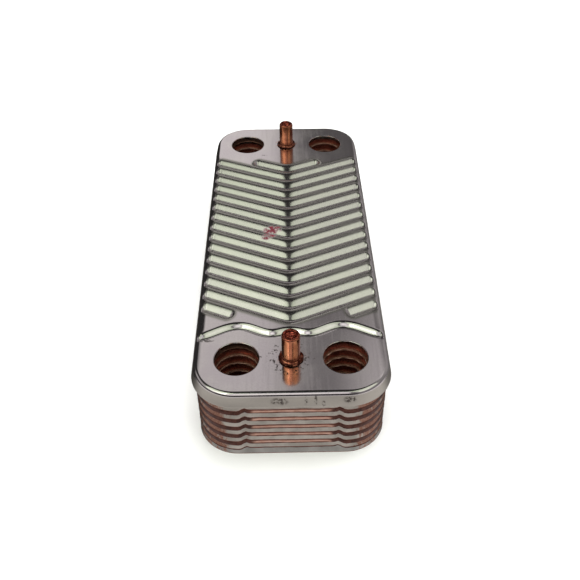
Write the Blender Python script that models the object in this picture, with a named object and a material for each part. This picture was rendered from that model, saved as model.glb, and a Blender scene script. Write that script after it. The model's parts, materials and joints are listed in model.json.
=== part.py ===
"""Brazed plate heat exchanger of a combination boiler.

A pack of pressed stainless plates nests like trays between a front and a back
cover. Copper seams close the joints between the flared skirts, and two threaded
studs are brazed to the front cover. Nothing moves: the brazed pack is rigid.

Frame: X across the plates, Y along them, +Z out of the ported front face. The
origin is the middle of the surface that the back cover's skirt stands on.
Lengths below are in millimetres, and the meshes are made in metres.
"""

import math

import bmesh
import bpy
from mathutils import Vector
from mathutils.geometry import delaunay_2d_cdt

MM = 0.001

# Plan of every pressing: a rounded rectangle whose corners share these centres.
CORNER_X = 20.0
CORNER_Y = 78.5
CORNER_STEPS = 4

# Ports and studs.
PORT_X = 20.0
PORT_Y = 77.0
PORT_RADIUS = 8.2
PORT_STEPS = 12
PORT_LAND_RADIUS = 11.3

# Heights above the surface that the exchanger stands on.
FRONT_TOP = 33.6
BACK_PANEL_TOP = 6.3

# Front cover.
COVER_SHEET = 0.6
COVER_FLAT_RADIUS = 14.2
COVER_BEND = 1.7
COVER_FLARE = math.radians(13.0)
COVER_SKIRT_DEPTH = 6.0

# Back cover.
BACK_FLAT_RADIUS = 13.3
BACK_BEND = 1.2
BACK_WAVE_REACH = 31.0

# Channel plates, numbered from the front cover down.
CHANNEL_PLATES = 11
PLATE_PITCH = 2.165
PLATE_SHEET = 0.3
PLATE_FLARE = math.radians(14.0)
PLATE_FLAT_RADIUS = 13.6
PLATE_BEND = 0.9
FIRST_PLATE_DEPTH = 3.45
ODD_SKIRT_HEIGHT = 5.15
EVEN_SKIRT_HEIGHT = 4.735
WAVE_HEIGHT = 1.5
WAVE_REACH = 31.5

# V-shaped grooves: their arms climb at one slope and stand a constant step apart along Y.
CHEVRON_SLOPE = math.tan(math.radians(25.0))
CHEVRON_STEP = 7.75
FIRST_APEX_Y = -56.2
FULL_CHEVRONS = 14
GROOVE_DEPTH = 1.8
GROOVE_HALF_WIDTH = 2.95
FLOOR_HALF_WIDTH = 0.45
ARM_REACH = 31.1
SHORT_ARM_REACH = 13.3
STUB_START = 23.9
ROUND_END_STEPS = 4

# Serpentine groove that closes the gap under the cover round the near ports:
# (distance from the centre line, Y) of its crests and dips.
SERPENTINE_TURNS = ((0.0, -62.6), (6.8, -63.9), (19.7, -59.6), (36.5, -65.4))
SERPENTINE_REACH = 31.8
SERPENTINE_STEPS = 14
SERPENTINE_HALF_WIDTH = 2.25
SERPENTINE_FLOOR = 0.5

# Copper seams between the skirts.
SEAM_SHEET = 0.28
SEAM_GAP = 0.12
BROAD_SEAM = 1.5
NARROW_SEAM = 0.45
COVER_SEAM = 1.6
COVER_SEAM_RADIUS = 15.75

# Threaded studs and the braze collars at their feet.
STUD_RADIUS = 3.4
STUD_HEIGHT = 12.0
STUD_CHAMFER = 0.35
STUD_BORE_RADIUS = 2.1
STUD_BORE_DEPTH = 10.0
STUD_STEPS = 20
SEAT_GAP = 0.3
COLLAR_INNER_RADIUS = 3.65
COLLAR_TOP_RADIUS = 3.95
COLLAR_RADIUS = 4.9
COLLAR_HEIGHT = 1.5
COLLAR_EDGE_HEIGHT = 0.375

AXIS_MERGE = 0.00001


def clear_scene():
    for thing in list(bpy.data.objects):
        bpy.data.objects.remove(thing, do_unlink=True)


def metal(name, colour, roughness):
    material = bpy.data.materials.new(name)
    material.use_nodes = True
    shader = material.node_tree.nodes["Principled BSDF"]
    shader.inputs["Base Color"].default_value = (*colour, 1.0)
    shader.inputs["Roughness"].default_value = roughness
    shader.inputs["Metallic"].default_value = 1.0
    return material


# Plan outlines ------------------------------------------------------------


def rounded_outline(radius):
    """Points round the four corner arcs, anticlockwise, with straight sides between."""
    points = []
    corners = ((1, 1), (-1, 1), (-1, -1), (1, -1))
    for corner, (side_x, side_y) in enumerate(corners):
        centre = Vector((side_x * CORNER_X, side_y * CORNER_Y))
        for step in range(CORNER_STEPS + 1):
            angle = math.pi / 2 * (corner + step / CORNER_STEPS)
            points.append(centre + radius * Vector((math.cos(angle), math.sin(angle))))
    return points


def circle(centre, radius, steps):
    turn = 2 * math.pi / steps
    return [
        centre + radius * Vector((math.cos(turn * step), math.sin(turn * step)))
        for step in range(steps)
    ]


def port_centres():
    return [
        Vector((side_x * PORT_X, side_y * PORT_Y))
        for side_y in (-1, 1)
        for side_x in (-1, 1)
    ]


def round_end(centre, outward, radius):
    """Points of a half circle round the end of a groove, the flat ends left out."""
    start = math.atan2(outward.y, outward.x) - math.pi / 2
    turn = math.pi / ROUND_END_STEPS
    angles = [start + turn * step for step in range(1, ROUND_END_STEPS)]
    return [centre + radius * Vector((math.cos(a), math.sin(a))) for a in angles]


def ribbon(path, half_width):
    """The closed outline of a groove along an open path, mitred at its bends."""
    runs = [(b - a).normalized() for a, b in zip(path, path[1:])]
    left = []
    right = []
    for index, point in enumerate(path):
        arriving = runs[max(index - 1, 0)]
        leaving = runs[min(index, len(runs) - 1)]
        along = (arriving + leaving).normalized()
        side = Vector((-along.y, along.x)) * (half_width / along.dot(arriving))
        left.append(point + side)
        right.append(point - side)
    far_end = round_end(path[-1], runs[-1], half_width)
    near_end = round_end(path[0], -runs[0], half_width)
    return right + far_end + left[::-1] + near_end


def arm_point(apex_y, x):
    return Vector((x, apex_y + CHEVRON_SLOPE * abs(x)))


def chevron_path(apex_y, reach):
    return [arm_point(apex_y, x) for x in (-reach, 0.0, reach)]


def stub_path(side):
    apex_y = FIRST_APEX_Y - CHEVRON_STEP
    return [arm_point(apex_y, side * x) for x in (STUB_START, ARM_REACH)]


def serpentine_y(distance):
    """Height along Y of the serpentine, eased between its crests and dips."""
    for (x0, y0), (x1, y1) in zip(SERPENTINE_TURNS, SERPENTINE_TURNS[1:]):
        if distance <= x1:
            ease = (1 - math.cos(math.pi * (distance - x0) / (x1 - x0))) / 2
            return y0 + (y1 - y0) * ease
    return SERPENTINE_TURNS[-1][1]


def serpentine_path():
    last = SERPENTINE_STEPS
    places = [SERPENTINE_REACH * step / last for step in range(-last, last + 1)]
    return [Vector((x, serpentine_y(abs(x)))) for x in places]


# Contours: (points, height, closed). Every point of a contour lies at its height.


def port_mouths(height_at):
    return [(circle(c, PORT_RADIUS, PORT_STEPS), height_at(c), True) for c in port_centres()]


def port_lands(height_at):
    return [
        (circle(c, PORT_LAND_RADIUS, PORT_STEPS), height_at(c), True)
        for c in port_centres()
    ]


def groove(path, half_width, floor_half_width, depth):
    brink = (ribbon(path, half_width), 0.0, True)
    floor = (ribbon(path, floor_half_width), -depth, True)
    return [brink, floor]


def chevron_grooves():
    paths = [
        chevron_path(FIRST_APEX_Y + CHEVRON_STEP * row, ARM_REACH)
        for row in range(FULL_CHEVRONS)
    ]
    short_apex = FIRST_APEX_Y + CHEVRON_STEP * FULL_CHEVRONS
    paths.append(chevron_path(short_apex, SHORT_ARM_REACH))
    paths += [stub_path(side) for side in (-1, 1)]
    return [
        contour
        for path in paths
        for contour in groove(path, GROOVE_HALF_WIDTH, FLOOR_HALF_WIDTH, GROOVE_DEPTH)
    ]


def herringbone(pointing, reach):
    """Ridge and valley lines of a wavy panel. pointing is -1 or 1, along Y."""
    contours = []
    for half_row in range(2 * FULL_CHEVRONS + 1):
        apex_y = FIRST_APEX_Y + CHEVRON_STEP / 2 * half_row
        height = WAVE_HEIGHT / 2 * (1 if half_row % 2 else -1)
        path = chevron_path(apex_y, reach)
        line = [Vector((p.x, -pointing * p.y)) for p in path]
        contours.append((line, height, False))
    return contours


# Pressed plates -----------------------------------------------------------


def skirt_profile(flat_radius, bend, flare, depth):
    """(radius, height) of the outside of a skirt: edge of the flat, foot, brim."""
    turn = math.pi / 2 - flare
    foot_radius = flat_radius + bend * math.sin(turn)
    foot_height = -bend * (1 - math.cos(turn))
    brim_radius = foot_radius + (depth + foot_height) * math.tan(flare)
    return [(flat_radius, 0.0), (foot_radius, foot_height), (brim_radius, -depth)]


def tray_profile(profile, flare, sheet):
    """The rings between the two sides of the panel: down the skirt's outside, up its inside."""
    _, (foot_radius, foot_height), (brim_radius, brim_height) = profile
    wall = sheet / math.cos(flare)
    inside = [(brim_radius - wall, brim_height), (foot_radius - wall, foot_height)]
    return [*profile[1:], *inside]


def in_port(point):
    return any((point - c).length < PORT_RADIUS for c in port_centres())


def fill_contours(contours):
    """Fills the convex first contour with triangles that follow every contour.

    Gives the places, their heights, the triangles, and the index of each contour point.
    """
    points = []
    heights = []
    edges = []
    for outline, height, closed in contours:
        first = len(points)
        points += outline
        heights += [height] * len(outline)
        edges += [(first + i, first + i + 1) for i in range(len(outline) - 1)]
        if closed:
            edges.append((first + len(outline) - 1, first))
    filled = delaunay_2d_cdt(points, edges, [], 0, AXIS_MERGE)
    places, _, triangles, sources = filled[:4]
    levels = [heights[source[0]] for source in sources]
    index_of = {source[0]: index for index, source in enumerate(sources)}
    return places, levels, triangles, index_of


def add_object(name, bm, material):
    bmesh.ops.scale(bm, vec=(MM, MM, MM), verts=bm.verts)
    bmesh.ops.recalc_face_normals(bm, faces=bm.faces)
    mesh = bpy.data.meshes.new(name)
    bm.to_mesh(mesh)
    bm.free()
    mesh.materials.append(material)
    mesh.shade_smooth()
    mesh.set_sharp_from_angle(angle=math.radians(30.0))
    thing = bpy.data.objects.new(name, mesh)
    bpy.context.scene.collection.objects.link(thing)
    return thing


def add_ring(bm, outline, height):
    return [bm.verts.new((point.x, point.y, height)) for point in outline]


def join_rings(bm, first, second):
    """Quads between two closed rings of the same number of vertices."""
    count = len(first)
    for i in range(count):
        after = (i + 1) % count
        bm.faces.new((first[i], second[i], second[after], first[after]))


def pressed_plate(name, level, profile, flare, mouths, contours, sheet, material):
    """A tray: a pressed panel, open at its port mouths, with a flared skirt."""
    outline = rounded_outline(profile[0][0])
    every = [(outline, 0.0, True), *mouths, *contours]
    places, levels, triangles, index_of = fill_contours(every)
    bm = bmesh.new()
    sides = [
        [bm.verts.new((p.x, p.y, base + up)) for p, up in zip(places, levels)]
        for base in (level, level - sheet)
    ]
    for triangle in triangles:
        centre = sum((places[i] for i in triangle), Vector((0.0, 0.0))) / 3
        if mouths and in_port(centre):
            continue
        for side in sides:
            bm.faces.new([side[i] for i in triangle])
    top_rim, bottom_rim = (
        [side[index_of[i]] for i in range(len(outline))] for side in sides
    )
    rings = [top_rim]
    for radius, height in tray_profile(profile, flare, sheet):
        rings.append(add_ring(bm, rounded_outline(radius), level + height))
    rings.append(bottom_rim)
    for above, below in zip(rings, rings[1:]):
        join_rings(bm, above, below)
    for port in range(len(mouths)):
        first = len(outline) + port * PORT_STEPS
        steps = range(first, first + PORT_STEPS)
        join_rings(bm, *([side[index_of[i]] for i in steps] for side in sides))
    return add_object(name, bm, material)


def make_front_cover(material):
    profile = skirt_profile(COVER_FLAT_RADIUS, COVER_BEND, COVER_FLARE, COVER_SKIRT_DEPTH)
    serpentine = groove(
        serpentine_path(), SERPENTINE_HALF_WIDTH, SERPENTINE_FLOOR, GROOVE_DEPTH
    )
    pressed_plate(
        "front_cover",
        FRONT_TOP,
        profile,
        COVER_FLARE,
        port_mouths(lambda centre: 0.0),
        [*chevron_grooves(), *serpentine],
        COVER_SHEET,
        material,
    )


def back_profile():
    return skirt_profile(BACK_FLAT_RADIUS, BACK_BEND, PLATE_FLARE, BACK_PANEL_TOP)


def make_back_cover(material):
    """The last plate has no ports, and the pack stands on its skirt."""
    pressed_plate(
        "back_cover",
        BACK_PANEL_TOP,
        back_profile(),
        PLATE_FLARE,
        [],
        herringbone(-1, BACK_WAVE_REACH),
        COVER_SHEET,
        material,
    )


def plate_level(number):
    return FRONT_TOP - FIRST_PLATE_DEPTH - PLATE_PITCH * (number - 1)


def skirt_height(number):
    return ODD_SKIRT_HEIGHT if number % 2 else EVEN_SKIRT_HEIGHT


def plate_profile(number):
    return skirt_profile(
        PLATE_FLAT_RADIUS, PLATE_BEND, PLATE_FLARE, skirt_height(number)
    )


def skirt_edge(number):
    return plate_level(number) - skirt_height(number)


def make_channel_plate(number, material):
    """Alternate plates are turned end for end and raise the other pair of ports."""
    pointing = 1 if number % 2 else -1

    def land_height(centre):
        return WAVE_HEIGHT / 2 * (1 if centre.x * pointing < 0 else -1)

    pressed_plate(
        f"channel_plate_{number:02d}",
        plate_level(number),
        plate_profile(number),
        PLATE_FLARE,
        port_mouths(land_height),
        [*port_lands(land_height), *herringbone(pointing, WAVE_REACH)],
        PLATE_SHEET,
        material,
    )


# Copper seams -------------------------------------------------------------


def skirt_radius(profile, level, height):
    """Outer radius of the straight part of a skirt at a height."""
    _, (foot_radius, foot_height), (brim_radius, brim_height) = profile
    share = (level + foot_height - height) / (foot_height - brim_height)
    return foot_radius + share * (brim_radius - foot_radius)


def make_seam(name, top, bottom, radius_at, material):
    """A copper ring whose inner face stands just off the skirt it is brazed to."""
    bm = bmesh.new()
    section = [
        (radius_at(top), top),
        (radius_at(top) + SEAM_SHEET, top),
        (radius_at(bottom) + SEAM_SHEET, bottom),
        (radius_at(bottom), bottom),
    ]
    rings = [add_ring(bm, rounded_outline(radius), height) for radius, height in section]
    for above, below in zip(rings, rings[1:] + rings[:1]):
        join_rings(bm, above, below)
    return add_object(name, bm, material)


def make_plate_seam(upper, material):
    """The seam under one plate's skirt edge, against the next skirt down."""
    last = upper == CHANNEL_PLATES
    level = BACK_PANEL_TOP if last else plate_level(upper + 1)
    profile = back_profile() if last else plate_profile(upper + 1)
    broad = upper % 2 and not last
    top = skirt_edge(upper) - SEAM_GAP
    bottom = top - (BROAD_SEAM if broad else NARROW_SEAM)

    def radius_at(height):
        return skirt_radius(profile, level, height) + SEAM_GAP

    make_seam(f"braze_seam_{upper + 1:02d}", top, bottom, radius_at, material)


def make_cover_seam(material):
    """The seam inside the front cover's skirt, against the first channel plate."""
    bottom = FRONT_TOP - COVER_SKIRT_DEPTH + SEAM_GAP
    top = bottom + COVER_SEAM

    def radius_at(height):
        return COVER_SEAM_RADIUS + (bottom - height) * math.tan(COVER_FLARE)

    make_seam("braze_seam_01", top, bottom, radius_at, material)


# Studs --------------------------------------------------------------------


def turned(name, profile, closed, place, material):
    """A profile in the XZ plane, turned once round Z."""
    vertices = [(radius, 0.0, height) for radius, height in profile]
    edges = [(i, i + 1) for i in range(len(profile) - 1)]
    if closed:
        edges.append((len(profile) - 1, 0))
    mesh = bpy.data.meshes.new(name)
    mesh.from_pydata([tuple(v * MM for v in vertex) for vertex in vertices], edges, [])
    mesh.materials.append(material)
    thing = bpy.data.objects.new(name, mesh)
    thing.location = Vector(place) * MM
    bpy.context.scene.collection.objects.link(thing)
    screw = thing.modifiers.new("turned", "SCREW")
    screw.steps = STUD_STEPS
    screw.render_steps = STUD_STEPS
    screw.use_merge_vertices = True
    screw.merge_threshold = AXIS_MERGE
    screw.use_smooth_shade = True
    return thing


def make_stud(name, place, material):
    floor = STUD_HEIGHT - STUD_BORE_DEPTH
    profile = [
        (0.0, floor),
        (STUD_BORE_RADIUS, floor),
        (STUD_BORE_RADIUS, STUD_HEIGHT - STUD_CHAMFER),
        (STUD_BORE_RADIUS + STUD_CHAMFER, STUD_HEIGHT),
        (STUD_RADIUS - STUD_CHAMFER, STUD_HEIGHT),
        (STUD_RADIUS, STUD_HEIGHT - STUD_CHAMFER),
        (STUD_RADIUS, SEAT_GAP),
        (0.0, SEAT_GAP),
    ]
    turned(name, profile, False, place, material)


def make_collar(name, place, material):
    profile = [
        (COLLAR_INNER_RADIUS, SEAT_GAP + COLLAR_HEIGHT),
        (COLLAR_TOP_RADIUS, SEAT_GAP + COLLAR_HEIGHT),
        (COLLAR_RADIUS, SEAT_GAP + COLLAR_EDGE_HEIGHT),
        (COLLAR_RADIUS, SEAT_GAP),
        (COLLAR_INNER_RADIUS, SEAT_GAP),
    ]
    turned(name, profile, True, place, material)


def main():
    clear_scene()
    cover_steel = metal("cover_steel", (0.56, 0.53, 0.55), 0.22)
    plate_steel = metal("plate_steel", (0.46, 0.45, 0.41), 0.42)
    seam_copper = metal("seam_copper", (0.45, 0.19, 0.12), 0.45)
    stud_copper = metal("stud_copper", (0.72, 0.33, 0.20), 0.24)
    braze_copper = metal("braze_copper", (0.55, 0.24, 0.14), 0.36)
    make_front_cover(cover_steel)
    for number in range(1, CHANNEL_PLATES + 1):
        make_channel_plate(number, plate_steel)
    make_back_cover(plate_steel)
    make_cover_seam(seam_copper)
    for upper in range(1, CHANNEL_PLATES + 1):
        make_plate_seam(upper, seam_copper)
    for end, place_y in (("near", -PORT_Y), ("far", PORT_Y)):
        place = (0.0, place_y, FRONT_TOP)
        make_stud(f"threaded_stud_{end}", place, stud_copper)
        make_collar(f"stud_braze_{end}", place, braze_copper)


main()
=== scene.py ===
import functools
import json
import math

import bpy
import numpy as np
from mathutils import Matrix, Vector
from mathutils.geometry import delaunay_2d_cdt


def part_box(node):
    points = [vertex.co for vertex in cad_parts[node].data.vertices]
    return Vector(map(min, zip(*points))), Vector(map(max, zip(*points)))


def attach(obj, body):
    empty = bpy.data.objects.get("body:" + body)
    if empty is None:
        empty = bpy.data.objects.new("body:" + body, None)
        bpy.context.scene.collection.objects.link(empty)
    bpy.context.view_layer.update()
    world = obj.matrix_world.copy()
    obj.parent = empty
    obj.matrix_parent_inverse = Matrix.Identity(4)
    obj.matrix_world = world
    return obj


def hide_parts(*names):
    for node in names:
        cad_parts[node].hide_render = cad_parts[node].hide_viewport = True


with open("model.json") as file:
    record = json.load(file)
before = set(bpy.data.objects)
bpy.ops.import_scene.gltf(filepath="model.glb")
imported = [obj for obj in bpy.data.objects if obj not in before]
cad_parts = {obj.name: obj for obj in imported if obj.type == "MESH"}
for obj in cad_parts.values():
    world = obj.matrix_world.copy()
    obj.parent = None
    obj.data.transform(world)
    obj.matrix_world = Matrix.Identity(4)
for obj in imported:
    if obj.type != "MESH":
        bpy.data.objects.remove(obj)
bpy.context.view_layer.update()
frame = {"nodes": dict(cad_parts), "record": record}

MM = 0.001
RECORD = frame["record"]
PLATES = sorted(n for n in frame["nodes"] if n.startswith("channel_plate"))
SEAMS = sorted(n for n in frame["nodes"] if n.startswith("braze_seam"))


def span(node):
    """Lowest and highest corner of a CAD node, in millimetres."""
    low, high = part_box(node)
    return np.array(low) / MM, np.array(high) / MM


COVER_LOW, COVER_HIGH = span("front_cover")
BACK_LOW, BACK_HIGH = span("back_cover")
TOP = COVER_HIGH[2]
PORTS = [
    np.mean(opening["box_m"], axis=0)[:2] / MM
    for opening in RECORD["physics"]["openings"]
]
PORT_X = max(p[0] for p in PORTS)
PORT_Y = max(p[1] for p in PORTS)
# The middle of a plan's corner, which its rounded outline turns round.
CORNER = np.array([PORT_X, PORT_Y + 1.5])
SIGNS = ((1, 1), (-1, 1), (-1, -1), (1, -1))
# A box of points that covers the widest plan.
REACH_X = 34
REACH_Y = 93

# Pressed front cover, in millimetres.
COVER_SHEET = 0.6
COVER_FLAT = 14.2
COVER_BEND = 1.7
COVER_FLARE = math.radians(13.0)
PORT_RADIUS = 8.2
COVER_MOUTH_ROLL = 0.28
COVER_MOUTH_POINTS = 96
COVER_LIP = ((0.16, 0.02), (0.06, 0.08), (0.0, 0.2), (0.0, 0.5), (0.05, 0.58))
TILT = math.radians(25.0)
SLOPE = math.tan(TILT)
STEP = 7.75
FIRST_APEX = -56.1
FULL_ROWS = 14
FAR_AWAY = 1e3
GROOVE_DEPTH = 1.9
GROOVE_HALF = STEP / 2 * math.cos(TILT)
GROOVE_BENDS = (0.13, 0.52)
END_SHARPNESS = 1.45
APEX_SOFT = 1.8
APEX_EASE = 1.9
ARM_REACH = 32.8
SHORT_REACH = 14.0
STUB_START = 23.3
SERPENTINE_TURNS = ((0.0, -62.7), (6.9, -64.0), (19.7, -59.8), (36.5, -65.6))
SERPENTINE_HALF = 2.5
SERPENTINE_DEPTH = 1.7
SERPENTINE_SHIFT = -0.4
SERPENTINE_BENDS = (0.3, 0.45)
SERPENTINE_CLEARANCE = 0.6
CHEVRONS_END = 65.5
NEAR_END = -69.3
FAR_END = 65.9
SIDE_DROOP = 0.07
SIDE_DROOP_START = 31.9
SIDE_DROOP_END = 35.2

# Channel plates.
PLATE_SHEET = 0.3
PLATE_FLAT = 13.6
PLATE_BEND = 0.9
PLATE_FLARE = math.radians(14.0)
PLATE_STEP = 1.7
MOUTH_ROLL = 0.45
MOUTH_POINTS = 64
WAVE = 0.75
BACK_FLAT = 13.3
BACK_BEND = 1.2
BACK_STEP = 1.2
SKIRT_MIDDLE = 15
CORNER_RADIUS = 15.5
SHIFT_SEED = 20
WASH_SEED = 40
BACK_WASH_SEED = 77

# Copper: seam heights, and a port neck's section as (height, distance outside the port).
BROAD_SEAM = 1.5
NARROW_SEAM = 0.6
NECK_LUMPS = 12
NECK_SECTION = (
    (-2.1, 1.0),
    (-1.0, 0.98),
    (-0.4, 0.85),
    (-0.25, 0.6),
    (-0.2, 0.2),
    (-0.1, 0.02),
    (0.1, 0.02),
    (0.2, 0.2),
    (0.25, 0.6),
    (0.4, 0.85),
    (1.0, 0.98),
    (2.1, 1.0),
    (2.1, 1.6),
    (-2.1, 1.6),
)
LIP_HEIGHT = 0.15

# Stud's thread, and the hole at its end.
THREAD_PITCH = 0.8
THREAD_TURNS = 11
THREAD_STEPS = 8
THREAD_START = 0.45
THREAD_RADIUS = 2.32
THREAD_DEPTH = 0.34
MOUTH_RADIUS = 2.25

# A braze collar's section: (radius, height as a share, how loose the shape is).
COLLAR_INSIDE = 3.41
COLLAR_SECTION = (
    (3.42, 0.05, 0.0),
    (3.42, 0.4, 0.1),
    (3.6, 0.28, 0.3),
    (3.85, 0.16, 0.7),
    (4.08, 0.26, 0.8),
    (4.22, 0.38, 0.9),
    (4.33, 0.4, 0.9),
    (4.45, 0.3, 1.0),
    (4.54, 0.15, 1.0),
    (4.66, 0.02, 1.0),
    (4.5, 0.0, 0.0),
)

# Light and background colours.
GREENISH_LIGHT = (0.90, 1.0, 0.78)
WHITE = (1, 1, 1)
WARM_WHITE = (1.0, 0.97, 0.92)
GLOW_TINT = (1.0, 0.945, 0.95, 1.0)
PALE_PAPER = (0.95, 0.95, 0.95, 1.0)
BLACK = (0.0, 0.0, 0.0, 1.0)


# Plan of a pressing -------------------------------------------------------


def plan(spacing, corner_steps):
    """Inner points and outward normals round a pressing, anticlockwise."""
    base, normal = [], []
    corners = [CORNER * s for s in SIGNS]
    for i, corner in enumerate(corners):
        for k in range(corner_steps + 1):
            a = math.pi / 2 * (i + k / corner_steps)
            base.append(corner)
            normal.append((math.cos(a), math.sin(a)))
        run = corners[(i + 1) % 4] - corner
        count = round(np.linalg.norm(run) / spacing)
        for k in range(1, count):
            base.append(corner + run * k / count)
            normal.append(normal[-1])
    return np.array(base), np.array(normal)


def ring(base, normal, radius, height):
    """A closed ring of points at a radius and a height, either of which may vary."""
    count = len(base)
    radius = np.broadcast_to(radius, count)
    height = np.broadcast_to(height, count)
    return np.column_stack([base + normal * radius[:, None], height])


SKIRT_PLAN = plan(1.0, 26)


class Mesh:
    """Points, faces and per-point marks of one piece, in millimetres."""

    def __init__(self):
        self.points, self.faces, self.marks, self.count = [], [], {}, 0

    def add(self, points, **marks):
        first = self.count
        points = np.asarray(points, float)
        self.points.append(points)
        self.count += len(points)
        for name, value in marks.items():
            value = np.broadcast_to(value, len(points)).astype(float)
            self.marks.setdefault(name, []).append((first, value))
        return np.arange(first, self.count)

    def join(self, first, second):
        """Quads between two closed rings of the same length."""
        self.faces += zip(
            first.tolist(),
            second.tolist(),
            np.roll(second, -1).tolist(),
            np.roll(first, -1).tolist(),
        )

    def loft(self, rings, closed=False):
        for a, b in zip(rings, rings[1:]):
            self.join(a, b)
        if closed:
            self.join(rings[-1], rings[0])

    def piece(self, name, material, slot, replaces, sharp=40.0):
        mesh = bpy.data.meshes.new(name)
        points = np.concatenate(self.points) * MM
        mesh.from_pydata(points.tolist(), [], self.faces)
        for mark, parts in self.marks.items():
            values = np.zeros(self.count, np.float32)
            for first, value in parts:
                values[first : first + len(value)] = value
            layer = mesh.attributes.new(mark, "FLOAT", "POINT")
            layer.data.foreach_set("value", values)
        mesh.materials.append(material)
        mesh.shade_smooth()
        mesh.set_sharp_from_angle(angle=math.radians(sharp))
        thing = bpy.data.objects.new(name, mesh)
        bpy.context.scene.collection.objects.link(thing)
        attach(thing, "root")
        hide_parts(*replaces)
        return thing


def ease(t):
    t = np.clip(t, 0.0, 1.0)
    return t * t * (3 - 2 * t)


def wall(t, bends):
    """0 to 1 up a pressed wall: straight, with a bend at its foot and one at its brink."""
    t = np.clip(t, 0.0, 1.0)
    foot, brink = bends
    slope = 1 / (1 - (foot + brink) / 2)
    low = slope * t * t / (2 * foot)
    high = 1 - slope * (1 - t) ** 2 / (2 * brink)
    middle = slope * (t - foot / 2)
    return np.where(t < foot, low, np.where(t > 1 - brink, high, middle))


def ripple(x, y, seed, scale):
    """A smooth uneven field between about -1 and 1, from six fixed waves."""
    total = np.zeros_like(np.asarray(x, float))
    rng = np.random.default_rng(seed)
    for _ in range(6):
        angle, phase, size = rng.uniform(0, 2 * np.pi, 2).tolist() + [rng.uniform(0.6, 1.8)]
        k = 2 * np.pi / (scale * size)
        total = total + np.sin(k * (x * math.cos(angle) + y * math.sin(angle)) + phase)
    return total / 3


# Front cover --------------------------------------------------------------


def serpentine_y(x):
    """The centre line of the groove across the near end: half waves between its turns."""
    x = np.abs(x)
    y = np.full_like(x, SERPENTINE_TURNS[-1][1])
    for (x0, y0), (x1, y1) in reversed(list(zip(SERPENTINE_TURNS, SERPENTINE_TURNS[1:]))):
        share = (1 - np.cos(np.pi * (x - x0) / (x1 - x0))) / 2
        y = np.where(x <= x1, y0 + (y1 - y0) * share, y)
    return y


def arm_distance(x, y, apex, start, end):
    """Distance from the centre line of a V's arms, or of a stretch of them."""
    soft = np.sqrt(x * x + APEX_SOFT**2) - APEX_SOFT * 0.4
    along = soft * math.cos(TILT) + (y - apex) * math.sin(TILT)
    across = (y - apex) * math.cos(TILT) - soft * math.sin(TILT)
    past = np.maximum(along - end, 0) + np.maximum(start - along, 0)
    return np.hypot(across, past * END_SHARPNESS), across


def side_droop(x, y):
    """How far the cover sinks towards its long sides, less beside the ports."""
    x = np.minimum(np.abs(x), SIDE_DROOP_END)
    share = 1 - 0.55 * ease((np.abs(y) - 60.0) / 7.0)
    return SIDE_DROOP * share * np.maximum(x - SIDE_DROOP_START, 0) ** 2


def panel(x, y):
    """Height of the cover's outer surface over its flat, and how close each place is to a
    groove: 0 on its centre line and 1 at its brink.
    """
    depth = np.zeros_like(x)
    closeness = np.full_like(x, 9.0)
    cos = math.cos(TILT)
    # Full V grooves, the short one at the far end, and the stubs at the near end.
    rows = [(k, -FAR_AWAY, ARM_REACH) for k in range(FULL_ROWS)]
    rows += [(FULL_ROWS, -FAR_AWAY, SHORT_REACH), (-1, STUB_START, ARM_REACH)]
    for row, start, end in rows:
        apex = FIRST_APEX + STEP * row
        distance, across = arm_distance(x, y, apex, start / cos, end / cos)
        # The wall inside the V's point is drawn out where the two arms meet.
        near_apex = np.exp(-((x / APEX_EASE) ** 2))
        distance = np.where(across > 0, distance * (1 - 0.10 * near_apex), distance)
        distance = distance / GROOVE_HALF
        closeness = np.minimum(closeness, distance)
        depth = np.maximum(depth, GROOVE_DEPTH * (1 - wall(distance, GROOVE_BENDS)))
    line = serpentine_y(x)
    step = 0.05
    slope = (serpentine_y(x + step) - line) / step * np.sign(x)
    across = (y - line) / np.sqrt(1 + slope * slope) - SERPENTINE_SHIFT
    half = SERPENTINE_HALF + np.where(across > 0, -SERPENTINE_SHIFT, SERPENTINE_SHIFT)
    low_wall = wall(np.abs(across) / half, SERPENTINE_BENDS)
    depth = np.maximum(depth, SERPENTINE_DEPTH * (1 - low_wall))
    return 0.018 * ripple(x, y, 3, 26.0) - depth, closeness


def panel_normal(x, y):
    """Unit normals of the cover's outer surface, from its slope."""
    step = 0.06

    def height(x, y):
        return panel(x, y)[0] - side_droop(x, y)

    along_x = (height(x + step, y) - height(x - step, y)) / (2 * step)
    along_y = (height(x, y + step) - height(x, y - step)) / (2 * step)
    normal = np.column_stack([-along_x, -along_y, np.ones_like(x)])
    return normal / np.linalg.norm(normal, axis=1, keepdims=True)


def circle(centre, radius, count):
    a = np.linspace(0, 2 * np.pi, count, endpoint=False)
    return np.column_stack([centre[0] + radius * np.cos(a), centre[1] + radius * np.sin(a)])


def inside(x, y, radius):
    """Which points lie inside the plan outline at a radius."""
    over = np.hypot(np.maximum(np.abs(x) - CORNER[0], 0), np.maximum(np.abs(y) - CORNER[1], 0))
    return over < radius


def clear_of_ports(x, y, radius):
    """Which points lie further than a radius from every port's centre."""
    keep = np.ones(len(x), bool)
    for port in PORTS:
        keep &= np.hypot(x - port[0], y - port[1]) > radius
    return keep


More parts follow.
